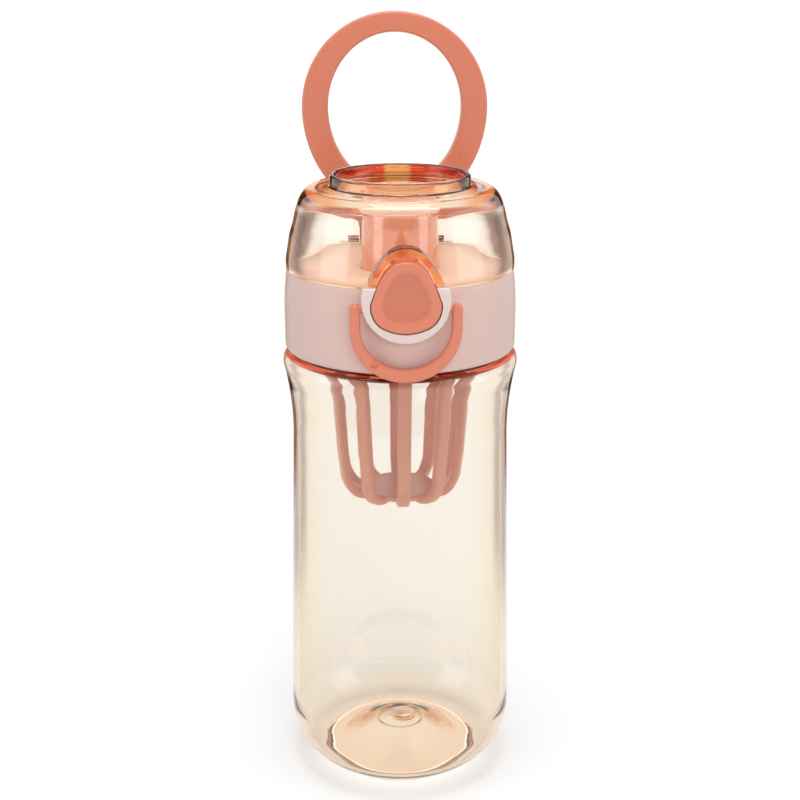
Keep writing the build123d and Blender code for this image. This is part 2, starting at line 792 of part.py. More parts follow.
# The carry loop: an oval ring on a tongue that ends in two knuckles on the hinge pin.
loop_pin_hole = cross_rod(pin_r + pin_fit, pin_back, pin_z, -tongue_w / 2, tongue_w / 2)
with BuildPart() as carry_loop:
    with BuildSketch(Plane.XZ.offset(-pin_back)):
        with BuildLine():
            ThreePointArc((loop_r, loop_mid_z), (0, loop_mid_z + loop_r), (-loop_r, loop_mid_z))
            EllipticalCenterArc((0, loop_mid_z), loop_r, loop_low_h, 180, arc_size=180)
        make_face()
        with BuildLine():
            Polyline(
                (-tongue_w / 2 - tongue_flare, tongue_top_z),
                (-tongue_w / 2, tongue_top_z - 2 * tongue_flare),
                (-tongue_w / 2, pin_z), (tongue_w / 2, pin_z),
                (tongue_w / 2, tongue_top_z - 2 * tongue_flare), (tongue_w / 2 + tongue_flare, tongue_top_z),
                close=True,
            )
        make_face()
        with BuildLine():
            EllipticalCenterArc((0, loop_mid_z), loop_hole_r, loop_hole_top_h, 0, arc_size=180)
            EllipticalCenterArc((0, loop_mid_z), loop_hole_r, loop_hole_low_h, 180, arc_size=180)
        make_face(mode=Mode.SUBTRACT)
    extrude(amount=loop_depth / 2, both=True)
    loop_faces = carry_loop.faces().sort_by(Axis.Y)
    fillet((loop_faces[0].edges() + loop_faces[-1].edges()).filter_by(is_round), loop_edge)
    with BuildSketch(Plane.YZ.offset(-tongue_w / 2)):
        with Locations((pin_back, pin_z)):
            Circle(loop_depth / 2)
    extrude(amount=tongue_w)
    with BuildSketch(Plane.XZ.offset(-pin_back - loop_depth)):
        with Locations((0, pin_z)):
            Rectangle(notch_w, 2 * notch_h)
    extrude(amount=2 * loop_depth, mode=Mode.SUBTRACT)
    add(loop_pin_hole, mode=Mode.SUBTRACT)
finish(carry_loop, "carry_loop")

# The lock bail swings up over the hood, on two short pins in the boss.
bail_half = bail_w / 2
bail_in = bail_half - bail_arm
bend_z = bail_low_z + bail_half
bend_in_h = bail_half - bail_bar
tip_r = bail_arm / 2
bail_holes = [
    cross_rod(
        bail_pin_r + bail_pin_fit, -pivot_front, pivot_z,
        side * (bail_in - overrun), side * (bail_half + overrun),
    )
    for side in (-1, 1)
]
with BuildPart() as lock_bail:
    with BuildSketch(Plane.XZ.offset(bail_rear)):
        with BuildLine():
            ThreePointArc((-bail_half, bend_z), (0, bail_low_z), (bail_half, bend_z))
            Line((bail_half, bend_z), (bail_half, pivot_z))
            ThreePointArc((bail_half, pivot_z), (bail_half - tip_r, pivot_z + tip_r), (bail_in, pivot_z))
            Line((bail_in, pivot_z), (bail_in, bend_z))
            EllipticalCenterArc((0, bend_z), bail_in, bend_in_h, 180, arc_size=180)
            Line((-bail_in, bend_z), (-bail_in, pivot_z))
            ThreePointArc((-bail_in, pivot_z), (-bail_half + tip_r, pivot_z + tip_r), (-bail_half, pivot_z))
            Line((-bail_half, pivot_z), (-bail_half, bend_z))
        make_face()
    extrude(amount=bail_depth)
    fillet(lock_bail.faces().sort_by(Axis.Y)[0].edges(), bail_edge)
    add(bail_holes, mode=Mode.SUBTRACT)
finish(lock_bail, "lock_bail")

for side, name in ((-1, "bail_pin_left"), (1, "bail_pin_right")):
    with BuildPart() as bail_pin:
        add(cross_rod(bail_pin_r, -pivot_front, pivot_z, side * bail_pin_in_x, side * bail_pin_out_x))
    finish(bail_pin, name)
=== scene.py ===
# %% [markdown]
# An infuser water bottle, dressed for a studio picture.
#
# The imported model gives every rigid piece at its real size and place. The moulded pieces that the
# camera looks at closely are modelled again here as smooth meshes from the same sizes, because clear
# plastic bends light by its surface, and a faceted surface would show. Small hidden pieces keep their
# imported solid and only get a material.
#
# The first cell loads the frame.

# %% load the frame
import math

import bmesh
import bpy
from mathutils import Matrix, Vector


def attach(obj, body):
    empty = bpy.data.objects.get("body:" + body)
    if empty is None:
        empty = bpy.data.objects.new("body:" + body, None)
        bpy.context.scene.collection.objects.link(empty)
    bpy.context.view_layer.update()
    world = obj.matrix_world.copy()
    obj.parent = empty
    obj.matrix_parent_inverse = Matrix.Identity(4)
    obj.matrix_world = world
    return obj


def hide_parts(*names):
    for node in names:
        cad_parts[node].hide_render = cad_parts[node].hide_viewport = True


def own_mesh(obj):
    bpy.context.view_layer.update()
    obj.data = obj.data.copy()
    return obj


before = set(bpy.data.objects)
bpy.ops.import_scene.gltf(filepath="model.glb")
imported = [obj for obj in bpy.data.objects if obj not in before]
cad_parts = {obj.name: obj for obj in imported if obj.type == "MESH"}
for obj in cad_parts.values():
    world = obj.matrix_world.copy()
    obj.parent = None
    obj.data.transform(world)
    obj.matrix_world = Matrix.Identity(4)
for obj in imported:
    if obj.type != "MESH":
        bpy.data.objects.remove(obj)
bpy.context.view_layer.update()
mm = 0.001
print("nodes in the frame:", len(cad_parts))

# %% [markdown]
# Every piece starts from a few tools. A turned piece is half an outline spun about the bottle's axis,
# a slab is an outline pushed along Y, and a rod is a cylinder along X. A flowing curve runs through a
# few chosen points, so the outline tables below stay short.

# %% modelling tools
TURN_STEPS = 176
SHARP = math.radians(32)


def flow(points, steps=6):
    """A smooth curve through the points, as a list of points."""
    ends = [points[0]] + list(points) + [points[-1]]
    line = []
    for before, a, b, after in zip(ends, ends[1:], ends[2:], ends[3:]):
        for n in range(steps):
            t = n / steps
            line.append(tuple(
                0.5 * (2 * q + (r - p) * t + (2 * p - 5 * q + 4 * r - s) * t ** 2 + (3 * q - p - 3 * r + s) * t ** 3)
                for p, q, r, s in zip(before, a, b, after)
            ))
    line.append(tuple(points[-1]))
    return line


def arc(middle, radius, start_deg, end_deg, steps=8):
    """Points on a circle, counted in degrees from the first axis."""
    angles = [math.radians(start_deg + (end_deg - start_deg) * n / steps) for n in range(steps + 1)]
    return [(middle[0] + radius * math.cos(a), middle[1] + radius * math.sin(a)) for a in angles]


def to_object(bm, name):
    """A finished bmesh as an object, with its normals outwards and its flat and round faces told apart."""
    bmesh.ops.remove_doubles(bm, verts=bm.verts, dist=0.002 * mm)
    bmesh.ops.recalc_face_normals(bm, faces=bm.faces)
    mesh = bpy.data.meshes.new(name)
    bm.to_mesh(mesh)
    bm.free()
    piece = bpy.data.objects.new(name, mesh)
    bpy.context.scene.collection.objects.link(piece)
    smooth(piece)
    return piece


def smooth(piece):
    """Smooth shading, with a crease where two faces meet at more than the sharp angle."""
    piece.data.polygons.foreach_set("use_smooth", [True] * len(piece.data.polygons))
    piece.data.set_sharp_from_angle(angle=SHARP)


def turned(name, outline, steps=TURN_STEPS):
    """A closed outline of (radius, z) in millimetres, spun about the axis."""
    bm = bmesh.new()
    ring = [bm.verts.new((r * mm, 0, z * mm)) for r, z in outline]
    edges = [bm.edges.new(pair) for pair in zip(ring, ring[1:] + ring[:1]) if pair[0].co.x + pair[1].co.x > 0]
    bmesh.ops.spin(
        bm, geom=ring + edges, cent=(0, 0, 0), axis=(0, 0, 1), angle=2 * math.pi, steps=steps,
        use_merge=True, use_normal_flip=False, use_duplicate=False,
    )
    return to_object(bm, name)


def slab(name, outline, front, rear, edge=0, segments=3):
    """An outline of (x, z) pushed along Y, with rounded rims. All sizes are in millimetres."""
    bm = bmesh.new()
    rim = [bm.verts.new((x * mm, -front * mm, z * mm)) for x, z in outline]
    face = bm.faces.new(rim)
    bmesh.ops.recalc_face_normals(bm, faces=[face])
    pushed = bmesh.ops.extrude_face_region(bm, geom=[face], use_keep_orig=True)
    moved = [v for v in pushed["geom"] if isinstance(v, bmesh.types.BMVert)]
    bmesh.ops.translate(bm, verts=moved, vec=(0, (front - rear) * mm, 0))
    if edge > 0:
        rims = [e for e in bm.edges if abs(e.verts[0].co.y - e.verts[1].co.y) < 0.01 * mm]
        bmesh.ops.bevel(
            bm, geom=rims, offset=edge * mm, segments=segments, profile=0.5, affect="EDGES", material=-1,
            clamp_overlap=True,
        )
    return to_object(bm, name)


def rod(name, radius, back, z, x_from, x_to, steps=48):
    """A round rod along X."""
    bm = bmesh.new()
    middle = Matrix.Translation(((x_from + x_to) / 2 * mm, back * mm, z * mm))
    bmesh.ops.create_cone(
        bm, cap_ends=True, segments=steps, radius1=radius * mm, radius2=radius * mm, depth=(x_to - x_from) * mm,
        matrix=middle @ Matrix.Rotation(math.pi / 2, 4, "Y"),
    )
    return to_object(bm, name)


def side_slab(name, outline, x_from, x_to, edge=0):
    """An outline of (y, z) pushed along X: a slab that is turned a quarter round before it is used."""
    piece = slab(name, outline, x_to, x_from, edge)
    piece.data.transform(Matrix.Rotation(math.pi / 2, 4, "Z"))
    return piece


def stacked(name, rings):
    """Closed rings of (x, z) points, each at its own distance in front, joined like the hoops of a lampshade."""
    bm = bmesh.new()
    last = None
    for outline, front in rings:
        hoop = [bm.verts.new((x * mm, -front * mm, z * mm)) for x, z in outline]
        edges = [bm.edges.new(pair) for pair in zip(hoop, hoop[1:] + hoop[:1])]
        if last:
            bmesh.ops.bridge_loops(bm, edges=last + edges)
        last = edges
    bmesh.ops.holes_fill(bm, edges=[e for e in bm.edges if e.is_boundary], sides=0)
    return to_object(bm, name)


def hoop_outline(width, depth, corner, steps=4):
    """A rounded rectangle about its middle, as a closed ring."""
    ring = []
    for quarter, (across, out) in enumerate(((1, 1), (-1, 1), (-1, -1), (1, -1))):
        middle = (across * (width / 2 - corner), out * (depth / 2 - corner))
        ring += arc(middle, corner, 90 * quarter, 90 * quarter + 90, steps)
    return ring


def swept(name, path, width, depths, corner):
    """A rounded bar along a path of (radius, z) points in front of the axis, bridged from hoop to hoop."""
    bm = bmesh.new()
    last = None
    for n, (r, z) in enumerate(path):
        before, after = Vector(path[max(n - 1, 0)]), Vector(path[min(n + 1, len(path) - 1)])
        along = (after - before).normalized()
        out = Vector((-along.y, along.x)) * -1
        depth = depths[0] + (depths[1] - depths[0]) * n / (len(path) - 1)
        hoop = []
        for across, lift in hoop_outline(width, depth, corner):
            hoop.append(bm.verts.new((across * mm, -(r + out.x * lift) * mm, (z + out.y * lift) * mm)))
        edges = [bm.edges.new(pair) for pair in zip(hoop, hoop[1:] + hoop[:1])]
        if last:
            bmesh.ops.bridge_loops(bm, edges=last + edges)
        last = edges
    bmesh.ops.holes_fill(bm, edges=[e for e in bm.edges if e.is_boundary], sides=0)
    return to_object(bm, name)


def cut(piece, tool, operation="DIFFERENCE"):
    """Cuts a tool out of a piece, or joins it on, and removes the tool."""
    change = piece.modifiers.new("cut", "BOOLEAN")
    change.operation = operation
    change.solver = "EXACT"
    change.object = tool
    bpy.context.view_layer.update()
    made = bpy.data.meshes.new_from_object(piece.evaluated_get(bpy.context.evaluated_depsgraph_get()))
    piece.modifiers.clear()
    old = piece.data
    piece.data = made
    made.name = piece.name
    bpy.data.meshes.remove(old)
    bpy.data.objects.remove(tool)
    smooth(piece)


def place(piece, body, node, material):
    """Puts a finished piece on its body, in place of its node, in its finish."""
    piece.data.materials.clear()
    piece.data.materials.append(material)
    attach(piece, body)
    if node:
        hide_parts(node)
    print(f"{piece.name}: {len(piece.data.polygons)} faces on {body}")


# %% [markdown]
# Real plastic is never one flat colour. Two small node groups give every finish its fine detail: one
# mixes two scales of noise into a faint colour drift and a roughness that varies like handled plastic,
# and the other is the shallow ripple that a mould leaves.

# %% shared finish groups


def new_group(name, inputs, outputs):
    """An empty node group with float inputs (name, value) and outputs (name, kind)."""
    group = bpy.data.node_groups.new(name, "ShaderNodeTree")
    for title, value in inputs:
        socket = group.interface.new_socket(title, in_out="INPUT", socket_type="NodeSocketFloat")
        socket.default_value = value
    for title, kind in outputs:
        group.interface.new_socket(title, in_out="OUTPUT", socket_type=kind)
    return group, group.nodes.new("NodeGroupInput"), group.nodes.new("NodeGroupOutput")


def make_handled():
    """Two scales of noise: a slow drift for colour and a fine one for roughness."""
    group, given, out = new_group(
        "handled plastic",
        [("Scale", 40.0), ("Rough Low", 0.2), ("Rough High", 0.3)],
        [("Drift", "NodeSocketFloat"), ("Roughness", "NodeSocketFloat")],
    )
    place_in = group.nodes.new("ShaderNodeTexCoord")
    slow = group.nodes.new("ShaderNodeTexNoise")
    fine = group.nodes.new("ShaderNodeTexNoise")
    spread = group.nodes.new("ShaderNodeMapRange")
    more = group.nodes.new("ShaderNodeMath")
    more.operation = "MULTIPLY"
    more.inputs[1].default_value = 9.0
    fine.inputs["Detail"].default_value = 5.0
    link = group.links.new
    link(place_in.outputs["Object"], slow.inputs["Vector"])
    link(place_in.outputs["Object"], fine.inputs["Vector"])
    link(given.outputs["Scale"], slow.inputs["Scale"])
    link(given.outputs["Scale"], more.inputs[0])
    link(more.outputs[0], fine.inputs["Scale"])
    link(fine.outputs["Fac"], spread.inputs["Value"])
    link(given.outputs["Rough Low"], spread.inputs["To Min"])
    link(given.outputs["Rough High"], spread.inputs["To Max"])
    spread.inputs["From Min"].default_value = 0.3
    spread.inputs["From Max"].default_value = 0.7
    link(slow.outputs["Fac"], out.inputs["Drift"])
    link(spread.outputs["Result"], out.inputs["Roughness"])
    return group


def make_ripple():
    """The shallow waviness of a moulded skin, as a height."""
    group, given, out = new_group("mould ripple", [("Scale", 25.0)], [("Height", "NodeSocketFloat")])
    place_in = group.nodes.new("ShaderNodeTexCoord")
    stretch = group.nodes.new("ShaderNodeMapping")
    stretch.inputs["Scale"].default_value = (1.0, 1.0, 0.35)
    waves = group.nodes.new("ShaderNodeTexNoise")
    waves.inputs["Detail"].default_value = 1.0
    link = group.links.new
    link(place_in.outputs["Object"], stretch.inputs["Vector"])
    link(stretch.outputs["Vector"], waves.inputs["Vector"])
    link(given.outputs["Scale"], waves.inputs["Scale"])
    link(waves.outputs["Fac"], out.inputs["Height"])
    return group


HANDLED = make_handled()
RIPPLE = make_ripple()
print("groups:", HANDLED.name, "and", RIPPLE.name)

# %% [markdown]
# A finish is then a Principled shader with these groups in front of it. The opaque plastics get a
# colour that drifts between two near shades, a roughness that varies, and a fine bump.

# %% plastic finishes


def new_material(name):
    """A material with its shader and output, ready for links."""
    material = bpy.data.materials.new(name)
    material.use_nodes = True
    nodes = material.node_tree.nodes
    return material, nodes, material.node_tree.links.new, nodes["Principled BSDF"]


def add_group(nodes, group, **values):
    """A group node with its inputs set."""
    node = nodes.new("ShaderNodeGroup")
    node.node_tree = group
    for title, value in values.items():
        node.inputs[title.replace("_", " ")].default_value = value
    return node


def plastic(name, shade, deeper, rough, scale=40.0, ripple=0.0, glow=0.0, coat=0.0, zone=None):
    """A moulded plastic: two near shades, a low and a high roughness, and a bump in metres. A zone along
    an axis (its letter, start and end in millimetres, and a colour) may have a colour painted over it,
    used here for painted light and shade."""
    material, nodes, link, shader = new_material(name)
    handled = add_group(nodes, HANDLED, Scale=scale, Rough_Low=rough[0], Rough_High=rough[1])
    tint = nodes.new("ShaderNodeMix")
    tint.data_type = "RGBA"
    tint.inputs[6].default_value = (*shade, 1)
    tint.inputs[7].default_value = (*deeper, 1)
    link(handled.outputs["Drift"], tint.inputs[0])
    link(tint.outputs[2], shader.inputs["Base Color"])
    link(handled.outputs["Roughness"], shader.inputs["Roughness"])
    shader.inputs["IOR"].default_value = 1.49
    if zone:
        axis, start, end, colour = zone
        where = nodes.new("ShaderNodeTexCoord")
        axes = nodes.new("ShaderNodeSeparateXYZ")
        there = nodes.new("ShaderNodeMapRange")
        there.inputs["From Min"].default_value = start * mm
        there.inputs["From Max"].default_value = end * mm
        other = nodes.new("ShaderNodeMix")
        other.data_type = "RGBA"
        other.inputs[7].default_value = (*colour, 1)
        link(where.outputs["Object"], axes.inputs[0])
        link(axes.outputs[axis], there.inputs["Value"])
        link(there.outputs["Result"], other.inputs[0])
        link(tint.outputs[2], other.inputs[6])
        link(other.outputs[2], shader.inputs["Base Color"])
    shader.inputs["Coat Weight"].default_value = coat
    shader.inputs["Coat Roughness"].default_value = 0.08
    if glow > 0:
        shader.inputs["Subsurface Weight"].default_value = glow
        shader.inputs["Subsurface Radius"].default_value = (1.0, 0.45, 0.3)
        shader.inputs["Subsurface Scale"].default_value = 2.0 * mm
    if ripple > 0:
        wave = add_group(nodes, RIPPLE, Scale=60.0)
        bump = nodes.new("ShaderNodeBump")
        bump.inputs["Distance"].default_value = ripple
        bump.inputs["Strength"].default_value = 0.5
        link(wave.outputs["Height"], bump.inputs["Height"])
        link(bump.outputs["Normal"], shader.inputs["Normal"])
    return material


SALMON = plastic(
    "salmon plastic", (0.74, 0.228, 0.135), (0.72, 0.218, 0.128), (0.27, 0.31), ripple=0.006 * mm, coat=0.1
)
# Painted shade: the dish in the button's face is a darker shade, as the hollow of the dish.
BUTTON = plastic(
    "thumb button plastic", (0.75, 0.235, 0.140), (0.73, 0.225, 0.133), (0.27, 0.31), ripple=0.006 * mm,
    coat=0.1, zone=("Y", -41.6, -41.15, (0.64, 0.188, 0.110)),
)
# Painted light: the basket is brighter than the salmon pieces, to make up for the light that the clear bottle round
# it holds back.
BRIGHTENED_BASKET = plastic(
    "basket plastic", (0.95, 0.380, 0.240), (0.93, 0.368, 0.230), (0.27, 0.31), ripple=0.006 * mm, coat=0.1
)
# Painted light: the deck under the clear lid is a warmer colour, for the amber light that reaches it through the lid.
COLLAR = plastic(
    "pale pink plastic", (0.725, 0.515, 0.462), (0.71, 0.500, 0.447), (0.34, 0.44), ripple=0.02 * mm, glow=0.1,
    zone=("Z", 171.25, 171.45, (0.75, 0.53, 0.42)),
)
TRIM = plastic("pale trim plastic", (0.80, 0.66, 0.61), (0.78, 0.64, 0.59), (0.25, 0.35), glow=0.1)
SILICONE = plastic("silicone rubber", (0.78, 0.72, 0.66), (0.74, 0.68, 0.62), (0.5, 0.65), scale=80.0, glow=0.2)
print("plastics made")

# %% [markdown]
# Spring wire and pins are stainless steel, drawn through a die, so fine lines run along them.

# %% steel
STEEL, nodes, link, shader = new_material("drawn steel")
shader.inputs["Metallic"].default_value = 1.0
shader.inputs["Base Color"].default_value = (0.62, 0.61, 0.60, 1)
where = nodes.new("ShaderNodeTexCoord")
draw = nodes.new("ShaderNodeMapping")
draw.inputs["Scale"].default_value = (60.0, 2400.0, 2400.0)
lines = nodes.new("ShaderNodeTexNoise")
lines.inputs["Scale"].default_value = 1.0
lines.inputs["Detail"].default_value = 3.0
spread = nodes.new("ShaderNodeMapRange")
spread.inputs["To Min"].default_value = 0.18
spread.inputs["To Max"].default_value = 0.42
link(where.outputs["Object"], draw.inputs["Vector"])
link(draw.outputs["Vector"], lines.inputs["Vector"])
link(lines.outputs["Fac"], spread.inputs["Value"])
link(spread.outputs["Result"], shader.inputs["Roughness"])
print("steel made")

# %% [markdown]
# The clear amber plastic takes its colour from its depth: light loses blue and green with every
# millimetre, so a thin wall looks pale and a thick lip or floor looks orange. Cycles does this with
# Volume Absorption. Light that is caught in a rim runs round it for many centimetres and comes out red.
# A path tracer needs very long paths for that, so that light is painted into the surface colour instead:
# red, orange and golden painted glows, and brown painted shade where a wall turns away from the eye.
# Masks of the height, the distance and the facing pick them out.

# %% clear finish tools
AMBER_LOSS = (0.9333, 0.5, 0.0)
AMBER_DEPTH = 60.0


def between(nodes, link, value, low, high, soft):
    """A mask that is one between two distances in millimetres, with soft ends."""
    ends = []
    for start, end in ((low - soft, low + soft), (high + soft, high - soft)):
        step = nodes.new("ShaderNodeMapRange")
        step.interpolation_type = "SMOOTHSTEP"
        step.inputs["From Min"].default_value = start * mm
        step.inputs["From Max"].default_value = end * mm
        link(value, step.inputs["Value"])
        ends.append(step.outputs["Result"])
    return times(nodes, link, *ends)


def times(nodes, link, one, other):
    """Two masks multiplied."""
    both = nodes.new("ShaderNodeMath")
    both.operation = "MULTIPLY"
    link(one, both.inputs[0])
    link(other, both.inputs[1])
    return both.outputs[0]


def faced(nodes, link, value, start, end):
    """A mask that grows from start to end of a plain value."""
    step = nodes.new("ShaderNodeMapRange")
    step.interpolation_type = "SMOOTHSTEP"
    step.inputs["From Min"].default_value = start
    step.inputs["From Max"].default_value = end
    link(value, step.inputs["Value"])
    return step.outputs["Result"]


def inner_skin(nodes, link, where):
    """A mask for the skin that looks towards the axis: the far side of a hollow piece."""
    flat = nodes.new("ShaderNodeVectorMath")
    flat.operation = "MULTIPLY"
    flat.inputs[1].default_value = (1, 1, 0)
    unit = nodes.new("ShaderNodeVectorMath")
    unit.operation = "NORMALIZE"
    along = nodes.new("ShaderNodeVectorMath")
    along.operation = "DOT_PRODUCT"
    link(where.outputs["Object"], flat.inputs[0])
    link(flat.outputs["Vector"], unit.inputs[0])
    link(unit.outputs["Vector"], along.inputs[0])
    link(where.outputs["Normal"], along.inputs[1])
    return faced(nodes, link, along.outputs["Value"], -0.1, -0.5)


def painted_light_and_shade(nodes, link, under, mask, colour, plain=(1, 1, 1)):
    """Painted light and shade: a colour mixed over another by a mask. The colour under it is a socket, or None for a
    plain one.
    """
    mix = nodes.new("ShaderNodeMix")
    mix.data_type = "RGBA"
    mix.inputs[6].default_value = (*plain, 1)
    mix.inputs[7].default_value = (*colour, 1)
    if under:
        link(under, mix.inputs[6])
    link(mask, mix.inputs[0])
    return mix.outputs[2]


def clear(name, loss, depth, rough=(0.0, 0.03)):
    """Clear tinted plastic, still without its painted light and shade."""
    material, nodes, link, shader = new_material(name)
    shader.inputs["Base Color"].default_value = (1, 1, 1, 1)
    shader.inputs["Transmission Weight"].default_value = 1.0
    shader.inputs["IOR"].default_value = 1.57
    handled = add_group(nodes, HANDLED, Scale=18.0, Rough_Low=rough[0], Rough_High=rough[1])
    link(handled.outputs["Roughness"], shader.inputs["Roughness"])
    inside = nodes.new("ShaderNodeVolumeAbsorption")
    inside.inputs["Color"].default_value = (*loss, 1)
    inside.inputs["Density"].default_value = depth
    link(inside.outputs[0], nodes["Material Output"].inputs["Volume"])
    where = nodes.new("ShaderNodeTexCoord")
    axes = nodes.new("ShaderNodeSeparateXYZ")
    link(where.outputs["Object"], axes.inputs[0])
    rim = nodes.new("ShaderNodeLayerWeight")
    return material, nodes, link, shader, where, axes, rim


# %% [markdown]
# The bottle is pale. Its neck root under the collar is painted deep red and its foot peach, painted
# light for the colour that gathers in the thick plastic there. Where the wall turns away from the eye
# the plastic is deep, and a painted tan and a thin painted line of dark brown shade darken its edge.

# %% bottle finish
BOTTLE_CLEAR, nodes, link, shader, where, axes, rim = clear("clear amber bottle", AMBER_LOSS, AMBER_DEPTH)
height = axes.outputs["Z"]
facing = rim.outputs["Facing"]
# Painted light: a tan over the wall where it turns away from the eye.
soft_edge = faced(nodes, link, facing, 0.3, 0.78)
tint = painted_light_and_shade(nodes, link, None, soft_edge, (0.89, 0.83, 0.69), plain=(0.955, 0.98, 0.985))
# Painted shade: a thin dark brown line along the edge of the body, from about 62 to 144 mm up.
painted_dark_edge = times(nodes, link, faced(nodes, link, facing, 0.60, 0.76), between(nodes, link, height, 62, 144, 22))
tint = painted_light_and_shade(nodes, link, tint, painted_dark_edge, (0.15, 0.06, 0.03))
# Painted light: peach over the foot.
foot = between(nodes, link, height, -20, 10, 6)
tint = painted_light_and_shade(nodes, link, tint, foot, (1.0, 0.93, 0.83))
# Painted light: a deep red glow on the neck root under the collar.
painted_neck_glow = between(nodes, link, height, 143.95, 149, 0.15)
tint = painted_light_and_shade(nodes, link, tint, painted_neck_glow, (0.74, 0.04, 0.01))
link(tint, shader.inputs["Base Color"])

# %% [markdown]
# The lid's colour gathers in its edges, and there it is painted on as light and shade: painted
# red-orange glows on the far wall of the knob, the knob's plate and the shoulder, painted golden light on
# the knob, the hood and the lower rim, painted orange on the lower hood, a paler painted highlight in the
# middle of the knob's far wall, and brown painted shade on the sides.

# %% lid finish
LID_CLEAR, nodes, link, shader, where, axes, rim = clear("clear amber lid", AMBER_LOSS, AMBER_DEPTH)
height = axes.outputs["Z"]
facing = rim.outputs["Facing"]
far_side = inner_skin(nodes, link, where)
# Painted shade: the dome's sides go dark brown where they turn away from the eye.
sides = times(nodes, link, faced(nodes, link, facing, 0.40, 0.56), between(nodes, link, height, 172.5, 191, 1.5))
tint = painted_light_and_shade(nodes, link, None, sides, (0.13, 0.045, 0.014))
# Painted light: golden over the lower rim.
low_rim = between(nodes, link, height, 160, 172.7, 0.3)
tint = painted_light_and_shade(nodes, link, tint, low_rim, (1.0, 0.88, 0.68))
# Painted light: golden over the knob.
knob_part = between(nodes, link, height, 196.9, 205, 0.4)
tint = painted_light_and_shade(nodes, link, tint, knob_part, (1.0, 0.84, 0.57))
# Painted light: a red glow on the shoulder where it turns away from the eye.
shoulder_place = between(nodes, link, height, 191.6, 196.4, 0.6)
shoulder = times(nodes, link, faced(nodes, link, facing, 0.40, 0.62), shoulder_place)
tint = painted_light_and_shade(nodes, link, tint, shoulder, (0.80, 0.11, 0.02))
# Painted light: an orange glow on the knob's plate, away from its middle.
across = nodes.new("ShaderNodeMath")
across.operation = "ABSOLUTE"
link(axes.outputs["X"], across.inputs[0])
plate = times(
    nodes, link, between(nodes, link, height, 196.2, 197.3, 0.2), between(nodes, link, across.outputs[0], 19, 40, 4)
)
tint = painted_light_and_shade(nodes, link, tint, plate, (0.92, 0.34, 0.08))
# Painted light: a red glow on the far wall of the knob.
painted_knob_glow = times(nodes, link, far_side, between(nodes, link, height, 197.0, 205, 0.3))
tint = painted_light_and_shade(nodes, link, tint, painted_knob_glow, (0.78, 0.075, 0.01))
# Painted highlight: a paler window in the middle of that glow.
middle = times(nodes, link, painted_knob_glow, between(nodes, link, axes.outputs["X"], -4.2, 4.2, 0.8))
tint = painted_light_and_shade(nodes, link, tint, middle, (0.92, 0.45, 0.12))
# Painted light: orange on the front of the hood, golden towards its top.
hood_front = between(nodes, link, axes.outputs["Y"], -60, -35.9, 0.5)
hood_place = times(nodes, link, hood_front, between(nodes, link, height, 173.5, 187, 0.6))
tint = painted_light_and_shade(nodes, link, tint, hood_place, (0.90, 0.27, 0.06))
hood_top = times(nodes, link, hood_place, between(nodes, link, height, 182.5, 190, 2.0))
tint = painted_light_and_shade(nodes, link, tint, hood_top, (1.0, 0.60, 0.24))
link(tint, shader.inputs["Base Color"])

# %% ring finish
RING_CLEAR = clear("clear red ring", (0.95, 0.35, 0.05), 400.0)[0]
print("clear plastics made")

# %% [markdown]
# The bottle is blown from one tube of clear plastic: a round foot with a push-up in the floor, a slim
# waist, a flared lip and a neck for the cap. One closed outline, inside and outside, is spun round.

# %% bottle
FOOT_R = 24.6
CORNER_R = 18.6
corner_arc = arc((CORNER_R, CORNER_R), CORNER_R, -64, 0, 14)
outer_foot = flow([(0.01, 8.4), (8, 7.2), (14.5, 3.6), (19.0, 1.2), (22.4, 0.15), (FOOT_R - 0.6, 0)], 5)
outer_side = flow([(37.2, 18.6), (36.6, 49), (35.6, 90), (34.9, 118.5)], 5)[1:]
outer_lip = flow([
    (34.9, 118.5), (35.05, 123.6), (35.37, 127.7), (36.08, 133.2), (36.95, 138.2), (37.45, 140.4),
    (37.6, 141.6), (37.35, 143.1), (36.6, 144.2), (35.9, 144.7),
], 5)[1:]
neck_out = [
    (34.0, 144.7), (34.0, 147.2), (33.8, 147.4), (31.3, 147.4), (31.0, 147.8), (31.0, 159.8), (30.7, 160.3),
    (30.2, 160.5), (28.9, 160.5), (28.6, 160.2),
]
neck_in = flow([
    (28.6, 151), (28.6, 146.6), (28.9, 144.6), (30.6, 143.4), (33.4, 143.1), (34.9, 142.4), (35.3, 141.2),
    (35.1, 139.6), (34.6, 137.0), (33.8, 133), (33.05, 127.2), (32.75, 123), (32.7, 118.5),
], 5)
inner_side = flow([(32.7, 118.5), (33.4, 90), (34.4, 49), (35.0, 20.5)], 5)[1:]
inner_floor = flow([
    (35.0, 20.5), (34.3, 14.0), (31.8, 8.6), (28.6, 5.6), (24.9, 4.4), (20.5, 5.4), (13.5, 9.3), (8.0, 11.1),
], 6)[1:]
gate_ring = [(7.8, 11.3), (7.4, 11.3), (7.2, 11.1), (0.01, 11.2)]
bottle = turned(
    "bottle",
    outer_foot + [(FOOT_R, 0)] + corner_arc + outer_side + outer_lip + neck_out + neck_in + inner_side
    + inner_floor + gate_ring,
)
gate = turned("gate", [(0.01, 10.5), (4.1, 10.5), (4.1, 12.2), (3.7, 12.6), (0.01, 12.6)], 48)
gate.data.transform(Matrix.Translation((1.2 * mm, 0, 0)))
cut(bottle, gate, "UNION")
place(bottle, "bottle", "bottle_body", BOTTLE_CLEAR)

# %% [markdown]
# The basket is one moulding: a sleeve that stands in the neck, ten ribs and a shallow bowl. One rib is
# modelled as a bar with rounded edges and copied round the axis.

